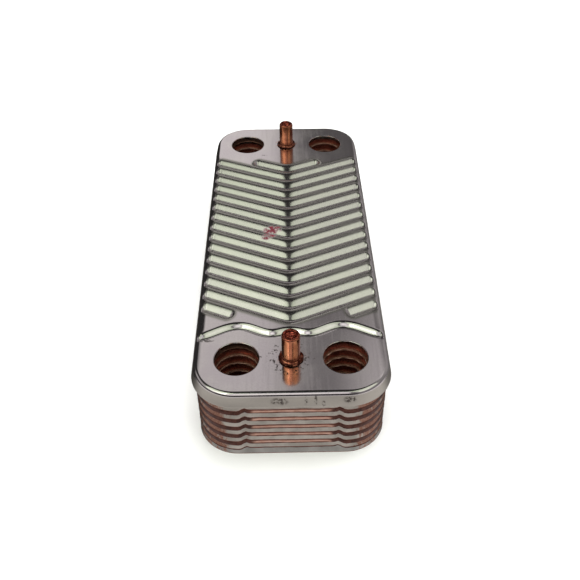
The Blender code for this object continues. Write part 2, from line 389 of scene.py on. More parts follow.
def chevron_rows():
    """Points along lines parallel to the V grooves, dense across their bends."""
    offsets = np.linspace(-STEP / 2, STEP / 2, 27)[1:]
    columns = np.concatenate([np.arange(0.0, 5.0, 0.36), np.arange(5.0, 34.2, 0.48)])
    columns = np.unique(np.concatenate([-columns, columns]))
    bend = SLOPE * (np.sqrt(columns**2 + APEX_SOFT**2) - APEX_SOFT * 0.4)
    out = []
    for row in range(-3, FULL_ROWS + 2):
        for offset in offsets:
            out.append(np.column_stack([columns, FIRST_APEX + STEP * row + offset + bend]))
    points = np.concatenate(out)
    x, y = points.T
    beyond = y > serpentine_y(x) + SERPENTINE_HALF + SERPENTINE_CLEARANCE
    return points[beyond & (y < CHEVRONS_END)]


def lattice(x0, x1, y0, y1, step):
    """Points in staggered rows over a box."""
    xs = np.arange(x0, x1, step)
    ys = np.arange(y0, y1, step * 0.87)
    x, y = np.meshgrid(xs, ys)
    x = x + (np.arange(len(ys)) % 2)[:, None] * step / 2
    return np.column_stack([x.ravel(), y.ravel()])


def cover_points():
    """Points over the cover: fine across its grooves and coarse on its flat ends."""
    near = lattice(-REACH_X, REACH_X, -69.5, -55.0, 0.5)
    x, y = near.T
    near = near[(y <= serpentine_y(x) + SERPENTINE_HALF + SERPENTINE_CLEARANCE)]
    ends = [
        lattice(-REACH_X, REACH_X, -REACH_Y, NEAR_END, 1.3),
        lattice(-REACH_X, REACH_X, FAR_END, REACH_Y, 1.3),
    ]
    ends = np.concatenate(ends)
    ends = ends[np.abs(ends[:, 0]) < SIDE_DROOP_START - 0.6]
    # The ends' sinking sides take columns of their own, in step with the outline.
    columns = np.linspace(SIDE_DROOP_START - 0.4, CORNER[0] + COVER_FLAT - 0.4, 7)
    across, along = np.meshgrid(columns, np.arange(66.0, REACH_Y, 0.8))
    sides = [np.column_stack([sx * across.ravel(), sy * along.ravel()]) for sx, sy in SIGNS]
    sides = np.concatenate(sides)
    sides = sides[(sides[:, 1] > 0) | (sides[:, 1] < -69.4)]
    points = np.concatenate([chevron_rows(), near, ends, sides])
    x, y = points.T
    keep = inside(x, y, COVER_FLAT - 0.35) & clear_of_ports(x, y, PORT_RADIUS + 0.55)
    return points[keep]


def fill(outline, mouths, points):
    """Triangles over an outline with round mouths left open, through every point.

    Gives the places and the triangles, and the index of each outline and mouth point.
    """
    loops = [outline, *mouths]
    every = np.concatenate([*loops, points])
    edges, first, spans = [], 0, []
    for loop in loops:
        n = len(loop)
        edges += [(first + i, first + (i + 1) % n) for i in range(n)]
        spans.append(np.arange(first, first + n))
        first += n
    result = delaunay_2d_cdt([Vector(p) for p in every.tolist()], edges, [], 0, 1e-6)
    places = np.array([(p.x, p.y) for p in result[0]])
    triangles = np.array(result[2])
    where = np.full(len(every), -1)
    for new, old in enumerate(result[3]):
        for o in old:
            where[o] = new
    centre = places[triangles].mean(axis=1)
    keep = np.ones(len(triangles), bool)
    for mouth in mouths:
        middle = mouth.mean(axis=0)
        reach = np.linalg.norm(mouth[0] - middle)
        keep &= np.hypot(*(centre - middle).T) > reach * 0.999
    return places, triangles[keep], [where[s] for s in spans]


def bend_steps(flat, bend, flare, count):
    """(radius, drop) round a skirt's bend, from the flat to its foot."""
    turn = math.pi / 2 - flare
    angles = [turn * k / count for k in range(1, count + 1)]
    return [(flat + bend * math.sin(a), bend * (1 - math.cos(a))) for a in angles]


def make_cover(material):
    base, normal = plan(0.8, 26)
    outline = base + normal * COVER_FLAT
    mouths = [circle(p, PORT_RADIUS + COVER_MOUTH_ROLL, COVER_MOUTH_POINTS) for p in PORTS]
    places, triangles, loops = fill(outline, mouths, cover_points())
    x, y = places.T
    height, closeness = panel(x, y)
    height = height - side_droop(x, y)
    # Marks the ridges between the grooves, which the material darkens as painted shade.
    ridge = np.exp(-(((closeness - 1.0) / 0.24) ** 2))
    pressed = (1 - ease((closeness - 0.95) / 0.3)) * (1 - 0.7 * np.exp(-((x / 2.6) ** 2)))
    mesh = Mesh()
    top = mesh.add(np.column_stack([x, y, TOP + height]), ridge=ridge, pressed=pressed)
    low = mesh.add(np.column_stack([x, y, TOP + height - COVER_SHEET]))
    mesh.faces += triangles.tolist()
    mesh.faces += (triangles[:, ::-1] + low[0]).tolist()
    rings = [top[loops[0]]]
    steps = bend_steps(COVER_FLAT, COVER_BEND, COVER_FLARE, 9)
    for radius, drop in steps:
        at = base + normal * radius
        shoulder = TOP - side_droop(*at.T)
        dip = panel(*at.T)[0] * (1 - ease((radius - COVER_FLAT) / 1.3))
        rings.append(mesh.add(np.column_stack([at, shoulder - drop + dip])))
    foot, drop = steps[-1]
    brim = COVER_HIGH[0] - CORNER[0]
    depth = TOP - COVER_LOW[2]
    sag = 0.05 * ripple(base[:, 0] + normal[:, 0], base[:, 1] + normal[:, 1], 5, 31.0)
    for share in (0.06, 0.2, 0.4, 0.6, 0.8, 0.93, 0.985):
        radius = foot + (brim - foot) * share + sag * math.sin(math.pi * share)
        at_height = (shoulder - drop) * (1 - share) + (TOP - depth) * share
        rings.append(mesh.add(ring(base, normal, radius, at_height), skirt=1.0))
    rings.append(mesh.add(ring(base, normal, brim - 0.06, TOP - depth), skirt=1.0))
    rings.append(mesh.add(ring(base, normal, brim - 0.5, TOP - depth), skirt=1.0))
    rings.append(mesh.add(ring(base, normal, brim - 0.62, TOP - depth + 0.1), skirt=1.0))
    rings.append(mesh.add(ring(base, normal, foot - 0.61, TOP - drop), skirt=1.0))
    rings.append(low[loops[0]])
    mesh.loft(rings)
    for port, loop in zip(PORTS, loops[1:]):
        rings = [top[loop]]
        for radius, drop in COVER_LIP:
            at = circle(port, PORT_RADIUS + radius, COVER_MOUTH_POINTS)
            height = np.full(COVER_MOUTH_POINTS, TOP - drop)
            rings.append(mesh.add(np.column_stack([at, height])))
        rings.append(low[loop])
        mesh.loft(rings)
    name = "pressed_front_cover"
    cover = mesh.piece(name, material, "cover_steel", ["front_cover"], sharp=70.0)
    # The pressing's own slope shades its face, free of the triangles' run.
    normals = np.zeros((mesh.count, 3))
    normals[top] = panel_normal(x, y)
    cover.data.normals_split_custom_set_from_vertices(normals.tolist())


# Channel plates and back cover ----------------------------------------------


def round_the_end(base, normal):
    """Distance along the outline from the middle of the nearer short side."""
    straight = np.abs(base[:, 0])
    corner = np.arctan2(np.abs(normal[:, 0]), np.abs(normal[:, 1])) * CORNER_RADIUS
    along = CORNER[1] - np.abs(base[:, 1])
    return straight + corner + np.where(np.abs(normal[:, 0]) > 0.999, along, 0.0)


def edge_shift(base, normal, seed):
    """How far a skirt's edge stands above or below its level, round the plan."""
    u = round_the_end(base, normal)
    kink = 0.6 * np.exp(-(((u - 17.1) / 0.95) ** 2))
    dip = -0.7 * ease((u - 17.5) / 2.4) * (1 - ease((u - 27) / 16))
    x, y = (base + normal * SKIRT_MIDDLE).T
    return kink + dip + 0.07 * ripple(x, y, seed, 14.0)


def copper_wash(base, normal, seed):
    """How much copper has crept over a skirt: most at the corners."""
    u = round_the_end(base, normal)
    corner = ease((u - 20.0) / 8.0) * (1 - 0.3 * ease((u - 40) / 16))
    x, y = (base + normal * SKIRT_MIDDLE).T
    return np.clip(0.04 + 0.74 * corner + 0.14 * ripple(x, y, seed, 9.0), 0, 1)


def land_height(x, y, side):
    """Height of a plate's port lands, and the distance to the nearest port.

    Side is the sign of x where the lands are raised.
    """
    sign = np.where(x * side > 0, 1.0, -1.0)
    away = np.full(np.shape(x), FAR_AWAY)
    for port in PORTS:
        away = np.minimum(away, np.hypot(x - port[0], y - port[1]))
    return sign * WAVE, away


def wave_height(x, y, pointing, side, flat, ported):
    """Herringbone waves that flatten towards the edge and round the ports."""
    v = y * pointing + SLOPE * np.sqrt(x * x + 1.0)
    height = WAVE * np.cos(2 * np.pi * v / STEP)
    over = np.hypot(np.maximum(np.abs(x) - CORNER[0], 0), np.maximum(np.abs(y) - CORNER[1], 0))
    height = height * (1 - ease((over - flat + 3.4) / 2.6))
    height = height * (1 - ease((np.abs(y) - 59.5) / 3.5))
    if ported:
        land, away = land_height(x, y, side)
        share = 1 - ease((away - 10.9) / 2.3)
        height = height * (1 - share) + land * share
        # Small supports are pressed into the raised lands round their mouths.
        angle = np.arctan2(np.abs(y) - PORT_Y, np.abs(x) - PORT_X)
        dimple = np.exp(-(((away - 10.2) / 0.9) ** 2)) * (0.5 + 0.5 * np.cos(11 * angle))
        height = height - np.sign(land) * 0.3 * dimple * (x > 0)
    return height


def pressed_tray(mesh, level, brim, flat, bend, sheet, height_at, ported, shift, wash, step):
    """A pressed tray with a flared skirt."""
    base, normal = SKIRT_PLAN
    outline = base + normal * flat
    mouth = PORT_RADIUS + MOUTH_ROLL
    mouths = [circle(p, mouth, MOUTH_POINTS) for p in PORTS] if ported else []
    points = lattice(-REACH_X, REACH_X, -92, 92, step)
    keep = inside(*points.T, flat - step * 0.5)
    if ported:
        keep &= clear_of_ports(*points.T, mouth + step * 0.4)
    places, triangles, loops = fill(outline, mouths, points[keep])
    x, y = places.T
    height = level + height_at(x, y)
    port_wash = np.zeros(len(x))
    for port in PORTS if ported else []:
        away = np.hypot(x - port[0], y - port[1])
        port_wash = np.maximum(port_wash, 1 - ease((away - 10) / 5))
    top = mesh.add(np.column_stack([x, y, height]), wash=port_wash)
    low = mesh.add(np.column_stack([x, y, height - sheet]), wash=port_wash)
    mesh.faces += triangles.tolist()
    mesh.faces += (triangles[:, ::-1] + low[0]).tolist()
    rings = [top[loops[0]]]
    steps = bend_steps(flat, bend, PLATE_FLARE, 4)
    for radius, drop in steps:
        rings.append(mesh.add(ring(base, normal, radius, level - drop), wash=wash * 0.5))
    foot, drop = steps[-1]
    depth = level - brim
    tilt = math.tan(PLATE_FLARE)
    # The last rings, marked as the edge, carry the dark copper of the joint, with painted shade
    # under the brim.
    for share in (0.3, 0.6, 0.8, 0.93, 0.955, 1.0):
        at = level - drop - (depth - drop) * share + shift * share
        radius = foot + (level - drop - at) * tilt - (0.05 if share == 1 else 0)
        edge = 1.0 if share > 0.94 else 0.0
        rings.append(mesh.add(ring(base, normal, radius, at), wash=wash, edge=edge))
    thick = sheet / math.cos(PLATE_FLARE)
    at = brim + shift
    radius = foot + (level - drop - at) * tilt
    rings.append(mesh.add(ring(base, normal, radius - thick, at), wash=wash, edge=1.0))
    rings.append(mesh.add(ring(base, normal, foot - thick, level - drop), wash=wash * 0.5))
    rings.append(low[loops[0]])
    mesh.loft(rings)
    for port, loop in zip(PORTS, loops[1:]):
        lift = height_at(*(np.array(port) + [PORT_RADIUS, 0.0]))
        curl = -np.sign(lift)
        rings = [top[loop]]
        lip = ((0.2, 0.0), (0.06, 0.04), (0.0, 0.12), (0.0, sheet - 0.1), (0.08, sheet))
        for out, down in lip:
            at = circle(port, PORT_RADIUS + out, MOUTH_POINTS)
            z = level + lift - down - curl * 0.05 * (out < 0.1)
            rings.append(mesh.add(np.column_stack([at, np.full(MOUTH_POINTS, z)]), wash=1.0))
        rings.append(low[loop])
        mesh.loft(rings)


class Skirt:
    """The outer surface of one plate's skirt, which its seams cling to."""

    def __init__(self, node, flat, bend, flare, level):
        self.brim, self.level, self.flare = span(node)[0][2], level, flare
        self.foot, self.drop = bend_steps(flat, bend, flare, 1)[-1]

    def radius(self, height):
        """Distance from the plan's inner points at a height."""
        return self.foot + (self.level - self.drop - height) * math.tan(self.flare)


def make_plate(index, node, material):
    low, high = span(node)
    level = high[2] - WAVE
    # Every second plate is turned round, so that its waves cross its neighbours'.
    pointing = 1 if index % 2 == 0 else -1
    side = -pointing
    base, normal = SKIRT_PLAN
    mesh = Mesh()
    pressed_tray(
        mesh,
        level,
        low[2],
        PLATE_FLAT,
        PLATE_BEND,
        PLATE_SHEET,
        lambda x, y: wave_height(x, y, pointing, side, PLATE_FLAT, True),
        True,
        edge_shift(base, normal, SHIFT_SEED + index),
        copper_wash(base, normal, WASH_SEED + index),
        PLATE_STEP,
    )
    mesh.piece(f"pressed_{node}", material, "plate_steel", [node])


def make_back(material):
    base, normal = SKIRT_PLAN
    mesh = Mesh()
    pressed_tray(
        mesh,
        BACK_HIGH[2] - WAVE,
        BACK_LOW[2],
        BACK_FLAT,
        BACK_BEND,
        COVER_SHEET,
        lambda x, y: wave_height(x, y, -1, 1, BACK_FLAT, False),
        False,
        np.zeros(len(base)),
        copper_wash(base, normal, BACK_WASH_SEED) * 0.8,
        BACK_STEP,
    )
    mesh.piece("pressed_back_cover", material, "back_steel", ["back_cover"])


# Copper seams ---------------------------------------------------------------


def make_seam(index, node, upper, lower):
    """Copper drawn out of one joint: it hangs from the edge above and wets the skirt below."""
    base, normal = SKIRT_PLAN
    low, high = span(node)
    x, y = (base + normal * SKIRT_MIDDLE).T
    u = round_the_end(base, normal)
    corner = ease((u - 11.5) / 5.5) * (1 - 0.6 * ease((u - 30) / 14))
    mesh = Mesh()
    if upper is None:
        # The first seam is a thin line hidden up under the cover's skirt.
        outer = Skirt("front_cover", COVER_FLAT, COVER_BEND, COVER_FLARE, TOP)
        top = np.full(len(base), low[2] + 0.5)
        bottom = np.full(len(base), low[2] + 0.02)
        outside = lambda z: np.full(len(base), outer.radius(low[2]) - 0.75)
        full, broad = 0.25, 0.0
    else:
        top = upper.brim + edge_shift(base, normal, upper.seed) - 0.02
        broad = 1.0 if high[2] - low[2] > 1.0 else 0.0
        tall = BROAD_SEAM * broad + NARROW_SEAM * (1 - broad)
        creep = (0.1 + 0.35 * broad) * corner
        bottom = top - tall - creep - 0.07 * ripple(x, y, 60 + index, 5.0)
        outside = lambda z: lower.radius(z)
        full = upper.radius(top) - lower.radius(top) - 0.03
    rings = []
    for share in (0.0, 0.06, 0.14, 0.22, 0.4, 0.6, 0.8, 0.93, 1.0):
        z = top + (bottom - top) * share
        thin = (1 - share ** (1.2 + 1.2 * (1 - broad))) * full
        thin = thin * (1 + 0.25 * share * ripple(x, y, 90 + index, 4.0)) + 0.02
        at = ring(base, normal, outside(z) + thin, z)
        rings.append(mesh.add(at, band=share, corner=corner, broad=broad))
    for z, share in ((bottom, 1.0), (top, 0.0)):
        at = ring(base, normal, outside(z) - 0.02, z)
        rings.append(mesh.add(at, band=share, corner=corner, broad=broad))
    mesh.loft(rings, closed=True)
    return mesh


def port_neck(mesh, port, height, bumpy):
    """The copper fillet that joins two plates' mouths, its two faces flaring outward."""
    count = 96
    angle = np.linspace(0, 2 * np.pi, count, endpoint=False)
    lumps = 0.14 * bumpy * np.cos(NECK_LUMPS * angle + 0.5) + 0.02 * np.sin(5 * angle + height)
    rings = []
    for h, out in NECK_SECTION:
        lip = 1.0 if abs(h) < LIP_HEIGHT else 0.0
        radius = PORT_RADIUS + out + lumps
        place = np.column_stack([np.cos(angle), np.sin(angle)]) * radius[:, None] + port
        at = np.column_stack([place, np.full(count, height + h)])
        rings.append(mesh.add(at, neck=1.0, lip=lip))
    mesh.loft(rings, closed=True)


def make_seams(material):
    """One piece for each joint, with the necks that its plates' mouths share."""
    skirts = []
    for index, node in enumerate(PLATES):
        skirt = Skirt(node, PLATE_FLAT, PLATE_BEND, PLATE_FLARE, span(node)[1][2] - WAVE)
        skirt.seed = SHIFT_SEED + index
        skirts.append(skirt)
    back = Skirt("back_cover", BACK_FLAT, BACK_BEND, PLATE_FLARE, BACK_HIGH[2] - WAVE)
    for index, node in enumerate(SEAMS):
        upper = skirts[index - 1] if index else None
        lower = skirts[index] if index < len(skirts) else back
        mesh = make_seam(index, node, upper, lower)
        if 0 < index < len(skirts):
            # Joint between plates: the mouths that this one lowers meet those the next raises.
            side = 1 if index % 2 else -1
            middle = (skirts[index - 1].level + skirts[index].level - PLATE_SHEET) / 2
            for port in PORTS:
                if port[0] * side > 0:
                    port_neck(mesh, port, middle, 1.0 if side > 0 else 0.1)
        mesh.piece(f"copper_{node}", material, "seam_copper", [node])


# Studs ------------------------------------------------------------------------


def make_stud(node, material):
    low, high = span(node)
    centre = (low + high)[:2] / 2
    radius = (high[0] - low[0]) / 2
    z0, z1 = low[2], high[2]
    count = MOUTH_POINTS
    angle = np.linspace(0, 2 * np.pi, count, endpoint=False)
    seed = 1.0 if centre[1] > 0 else 0.0
    mesh = Mesh()

    def around(r, z):
        r = np.broadcast_to(r, count)
        z = np.broadcast_to(z, count)
        return np.column_stack([centre[0] + r * np.cos(angle), centre[1] + r * np.sin(angle), z])

    outer = [
        (radius - 0.25, z0),
        (radius - 0.02, z0 + 0.2),
        (radius, z0 + 0.9),
        (radius, z0 + 1.5),
        (radius - 0.14, z0 + 1.62),
        (radius - 0.16, z0 + 1.82),
        (radius - 0.02, z0 + 1.95),
        (radius, z0 + 2.1),
        (radius, z0 + 4.0),
        (radius, z0 + 6.0),
        (radius, z0 + 8.0),
        (radius, z1 - 1.05),
        (radius - 0.02, z1 - 0.75),
        (radius - 0.1, z1 - 0.45),
        (radius - 0.26, z1 - 0.2),
        (radius - 0.48, z1 - 0.05),
        (radius - 0.7, z1),
    ]
    rings = [mesh.add(around(r, z), inner=0.8 if z > z1 - 0.3 else 0.0) for r, z in outer]
    # The end was rolled in: its mouth is uneven, and the thread starts below it.
    mouth = MOUTH_RADIUS + 0.14 * np.sin(3 * angle + 1.3 + seed)
    mouth = mouth + 0.08 * np.sin(7 * angle + 2 * seed)
    rings.append(mesh.add(around(mouth + 0.2, z1 - 0.03), inner=1.0))
    rings.append(mesh.add(around(mouth, z1 - 0.22), inner=1.0))
    for k in range(THREAD_TURNS * THREAD_STEPS):
        down = THREAD_START + k * THREAD_PITCH / THREAD_STEPS
        phase = (down / THREAD_PITCH - angle / (2 * np.pi)) % 1.0
        crest = 0.5 - 0.5 * np.cos(2 * np.pi * phase)
        fade = min(1.0, k / 6)
        r = THREAD_RADIUS - THREAD_DEPTH * fade * crest
        rings.append(mesh.add(around(r, z1 - down), inner=1.0))
    floor = z1 - THREAD_START - THREAD_TURNS * THREAD_PITCH - 0.2
    rings.append(mesh.add(around(1.9, floor), inner=1.0))
    rings.append(mesh.add(around(0.6, floor - 0.35), inner=1.0))
    rings.append(mesh.add(around(0.02, floor - 0.5), inner=1.0))
    # From the hole's floor to the foot, so that the faces look outward.
    mesh.loft(rings[::-1])
    mesh.faces.append(tuple(rings[-1].tolist()))
    mesh.faces.append(tuple(rings[0].tolist()[::-1]))
    name = node.replace("threaded_stud", "hollow_stud")
    mesh.piece(name, material, "stud_copper", [node], sharp=50.0)


def make_collar(node, material):
    low, high = span(node)
    centre = (low + high)[:2] / 2
    reach = (high[0] - low[0]) / 2
    z0, tall = low[2], high[2] - low[2]
    count = 144
    angle = np.linspace(0, 2 * np.pi, count, endpoint=False)
    rng = np.random.default_rng(11 if centre[1] > 0 else 12)
    lumps = np.zeros(count)
    for k in range(3, 22):
        lumps += rng.normal() / k**0.7 * np.sin(k * angle + rng.uniform(0, 6.28))
    lumps = lumps / np.abs(lumps).max()
    mesh = Mesh()
    rings = []
    for r, h, loose in COLLAR_SECTION:
        radius = np.minimum(r + 0.26 * loose * lumps, reach)
        radius = np.maximum(radius, COLLAR_INSIDE)
        height = z0 + tall * h * (1 + 0.5 * loose * np.roll(lumps, 17))
        height = np.minimum(height, high[2])
        x = centre[0] + radius * np.cos(angle)
        y = centre[1] + radius * np.sin(angle)
        rings.append(mesh.add(np.column_stack([x, y, height]), band=loose))
    mesh.loft(rings, closed=True)
    name = node.replace("stud_braze", "braze_collar")
    mesh.piece(name, material, "braze_copper", [node], sharp=60.0)


# Materials ----------------------------------------------------------------------


RANGE_INPUTS = ("From Min", "From Max", "To Min", "To Max")


class Nodes:
    """Short names for the nodes that the materials share."""

    def __init__(self, name):
        self.material = bpy.data.materials.new(name)
        self.material.use_nodes = True
        self.tree = self.material.node_tree
        self.shader = self.tree.nodes["Principled BSDF"]
        self.coords = self.node("ShaderNodeTexCoord").outputs["Object"]

    def node(self, kind, **settings):
        made = self.tree.nodes.new(kind)
        for key, value in settings.items():
            setattr(made, key, value)
        return made

    def link(self, value, socket):
        if hasattr(value, "is_linked"):
            self.tree.links.new(value, socket)
        else:
            socket.default_value = value

    def math(self, kind, a, b=0.0, clamp=False):
        made = self.node("ShaderNodeMath", operation=kind, use_clamp=clamp)
        self.link(a, made.inputs[0])
        self.link(b, made.inputs[1])
        return made.outputs[0]

    def noise(self, scale, detail=4.0, rough=0.55, stretch=(1, 1, 1), shift=(0, 0, 0)):
        """Noise with scale given as waves per metre, squeezed along the axes."""
        place = self.node("ShaderNodeMapping")
        self.link(self.coords, place.inputs["Vector"])
        place.inputs["Scale"].default_value = stretch
        place.inputs["Location"].default_value = shift
        made = self.node("ShaderNodeTexNoise")
        self.link(place.outputs[0], made.inputs["Vector"])
        made.inputs["Scale"].default_value = scale
        made.inputs["Detail"].default_value = detail
        made.inputs["Roughness"].default_value = rough
        return made.outputs["Fac"]

    def remap(self, value, low, high, to_low=0.0, to_high=1.0, smooth=True):
        made = self.node("ShaderNodeMapRange")
        made.interpolation_type = "SMOOTHSTEP" if smooth else "LINEAR"
        self.link(value, made.inputs["Value"])
        for key, number in zip(RANGE_INPUTS, (low, high, to_low, to_high)):
            self.link(number, made.inputs[key])
        return made.outputs[0]

    def mix(self, share, a, b):
        made = self.node("ShaderNodeMix", data_type="RGBA")
        self.link(share, made.inputs[0])
        self.link(a if hasattr(a, "is_linked") else (*a, 1.0), made.inputs[6])
        self.link(b if hasattr(b, "is_linked") else (*b, 1.0), made.inputs[7])
        return made.outputs[2]

    def mark(self, name):
        """A mark that the mesh carries at each of its points."""
        return self.node("ShaderNodeAttribute", attribute_name=name).outputs["Fac"]

    def spot(self, centre, radii):
        """1 at a place, fading to 0 at an ellipsoid round it. In millimetres."""
        place = self.node("ShaderNodeMapping", vector_type="TEXTURE")
        self.link(self.coords, place.inputs["Vector"])
        place.inputs["Location"].default_value = [c * MM for c in centre]
        place.inputs["Scale"].default_value = [r * MM for r in radii]
        made = self.node("ShaderNodeTexGradient", gradient_type="SPHERICAL")
        self.link(place.outputs[0], made.inputs["Vector"])
        return made.outputs["Fac"]

    def most(self, values):
        """The largest of several values."""
        total = values[0]
        for value in values[1:]:
            total = self.math("MAXIMUM", total, value)
        return total

    def bump(self, height, strength, distance):
        made = self.node("ShaderNodeBump")
        made.inputs["Strength"].default_value = strength
        made.inputs["Distance"].default_value = distance
        self.link(height, made.inputs["Height"])
        self.link(made.outputs[0], self.shader.inputs["Normal"])

    def finish(self, colour, rough, metal=1.0):
        self.link(colour, self.shader.inputs["Base Color"])
        self.link(rough, self.shader.inputs["Roughness"])
        self.link(metal, self.shader.inputs["Metallic"])
        return self.material


def cover_material():
    n = Nodes("bright_pressed_stainless")
    skirt, ridge, pressed = (n.mark(m) for m in ("skirt", "ridge", "pressed"))
    cloud = n.noise(70, 3.0)
    fine = n.noise(1400, 4.0, 0.6)
    drawn = n.noise(900, 3.0, 0.5, stretch=(1.0, 0.06, 1.0))
    colour = n.mix(n.remap(cloud, 0.35, 0.7), (0.60, 0.565, 0.57), (0.66, 0.635, 0.615))
    colour = n.mix(skirt, colour, (0.48, 0.46, 0.405))
    # Painted shade: the ridges between the grooves are darkened, standing in for the dark their
    # rounded crowns reflect.
    colour = n.mix(n.math("MULTIPLY", ridge, 0.95), colour, (0.31, 0.31, 0.27))
    grain = n.remap(fine, 0.35, 0.75, 0.0, 0.16)
    colour = n.mix(grain, colour, (0.36, 0.34, 0.34))
    rough = n.remap(cloud, 0.3, 0.75, 0.10, 0.15)
    rough = n.math("ADD", rough, n.remap(drawn, 0.45, 0.75, 0.0, 0.05))
    rough = n.math("ADD", rough, n.math("MULTIPLY", skirt, 0.24))
    rough = n.math("ADD", rough, n.math("MULTIPLY", pressed, 0.15))
    # Copper crept out of the ports and from under the studs.
    rims = [n.spot((p[0], p[1], TOP), (11.0, 11.0, 3.0)) for p in PORTS]
    rims = n.remap(n.most(rims), 0.2, 0.27)
    feet = [n.spot((0, s * PORT_Y, TOP), (8.6, 8.6, 4.0)) for s in (-1, 1)]
    feet = n.remap(n.most(feet), 0.25, 0.48)
    patchy = n.remap(n.noise(420, 5.0, 0.65), 0.46, 0.62)
    blush = n.math("MAXIMUM", n.math("MULTIPLY", rims, 0.75), n.math("MULTIPLY", feet, 0.5))
    blush = n.math("MULTIPLY", blush, patchy)
    colour = n.mix(blush, colour, (0.50, 0.22, 0.14))
    # Dark spots, as places and radii: scuffs by the near stud; spots in the serpentine's right
    # stretch; painted shade below the serpentine's left end and inside the right grooves' ends;
    # a scuff by the far stud, and smudges on the near skirt.
    near = -PORT_Y
    places = [
        ((-6.3, near - 1.6, TOP), (0.8, 1.8, 2)),
        ((-11.2, near + 0.6, TOP), (0.7, 0.7, 2)),
        ((25.2, -63.0, TOP - 1.2), (1.6, 0.8, 2)),
        ((28.2, -63.6, TOP - 1.2), (0.9, 0.8, 2)),
        ((-31.5, -67.5, TOP), (3.6, 1.1, 2)),
        ((33.2, -41.5, TOP - 1), (0.9, 0.9, 2)),
        ((33.2, -48.8, TOP - 1), (0.9, 0.9, 2)),
        ((-11.5, 66.2, TOP), (2.2, 0.5, 2)),
        ((-4.4, -95.4, TOP - 3.4), (4.4, 3, 2.3)),
        ((5.0, -95.4, TOP - 3.2), (0.8, 3, 3.0)),
        ((8.4, -95.4, TOP - 3.0), (0.8, 3, 3.4)),
        ((11.2, -95.4, TOP - 4.6), (1.0, 3, 1.8)),
        ((20.5, -95.0, TOP - 3.0), (3.2, 3, 2.0)),
    ]
    scuff_and_shade_spots = n.most([n.spot(*place) for place in places])
    broken = n.remap(n.noise(900, 4.0, 0.7), 0.42, 0.6)
    scuff_and_shade = n.math("MULTIPLY", n.remap(scuff_and_shade_spots, 0.1, 0.55), broken)
    # Specks of burnt flux in a patchy ring round the near stud.
    near_foot = n.spot((0, near, TOP), (10.0, 10.0, 2.5))
    belt = n.math("MULTIPLY", n.remap(near_foot, 0.06, 0.2), n.remap(near_foot, 0.56, 0.48))
    speck = n.remap(n.noise(900, 3.0, 0.6, shift=(0.03, 0.01, 0.0)), 0.555, 0.62)
    scuff_and_shade = n.math("MAXIMUM", scuff_and_shade, n.math("MULTIPLY", belt, speck))
    # Scuffs, specks of flux and the painted shade spots darken the steel.
    colour = n.mix(n.math("MULTIPLY", scuff_and_shade, 0.85), colour, (0.07, 0.055, 0.05))
    # A dab of the inspector's dark red paint on the grooves near the middle.
    dabs = [
        n.spot((-7.0, 3.0, TOP - 0.9), (6.6, 2.6, 3)),
        n.spot((-8.5, -2.4, TOP - 0.9), (4.6, 2.2, 3)),
    ]
    torn = n.remap(n.noise(560, 4.0, 0.7), 0.36, 0.56)
    paint = n.math("MULTIPLY", n.remap(n.most(dabs), 0.12, 0.4), torn)
    colour = n.mix(paint, colour, (0.13, 0.008, 0.022))
    rough = n.math("ADD", rough, n.math("MULTIPLY", n.math("MAXIMUM", scuff_and_shade, paint), 0.2))
    return n.finish(colour, rough, n.math("SUBTRACT", 1.0, paint, clamp=True))


def plate_material(name, steel, wash_gain):
    n = Nodes(name)
    wash = n.math("MULTIPLY", n.mark("wash"), wash_gain)
    cloud = n.noise(160, 4.0, 0.6)
    streak = n.noise(700, 5.0, 0.65, stretch=(1, 1, 0.35))
    fine = n.noise(2200, 3.0)
    colour = n.mix(n.remap(cloud, 0.3, 0.7), steel, tuple(c * 0.78 for c in steel))
    creep = n.math("ADD", wash, n.remap(streak, 0.32, 0.7, -0.38, 0.38, smooth=False))
    creep = n.remap(creep, 0.3, 0.75)
    copper = n.mix(n.remap(fine, 0.35, 0.7), (0.42, 0.24, 0.175), (0.24, 0.115, 0.08))
    colour = n.mix(creep, colour, copper)
    # The brim's edge is dark joint copper and painted shade under the brim.
    brim = n.math("MULTIPLY", n.mark("edge"), n.remap(cloud, 0.25, 0.5, 0.75, 0.95))
    colour = n.mix(brim, colour, (0.19, 0.08, 0.058))
    rough = n.math("ADD", n.remap(cloud, 0.3, 0.7, 0.34, 0.5), n.math("MULTIPLY", wash, 0.12))
    n.bump(n.math("ADD", n.math("MULTIPLY", streak, 0.7), fine), 0.25, 0.00008)
    return n.finish(colour, rough)


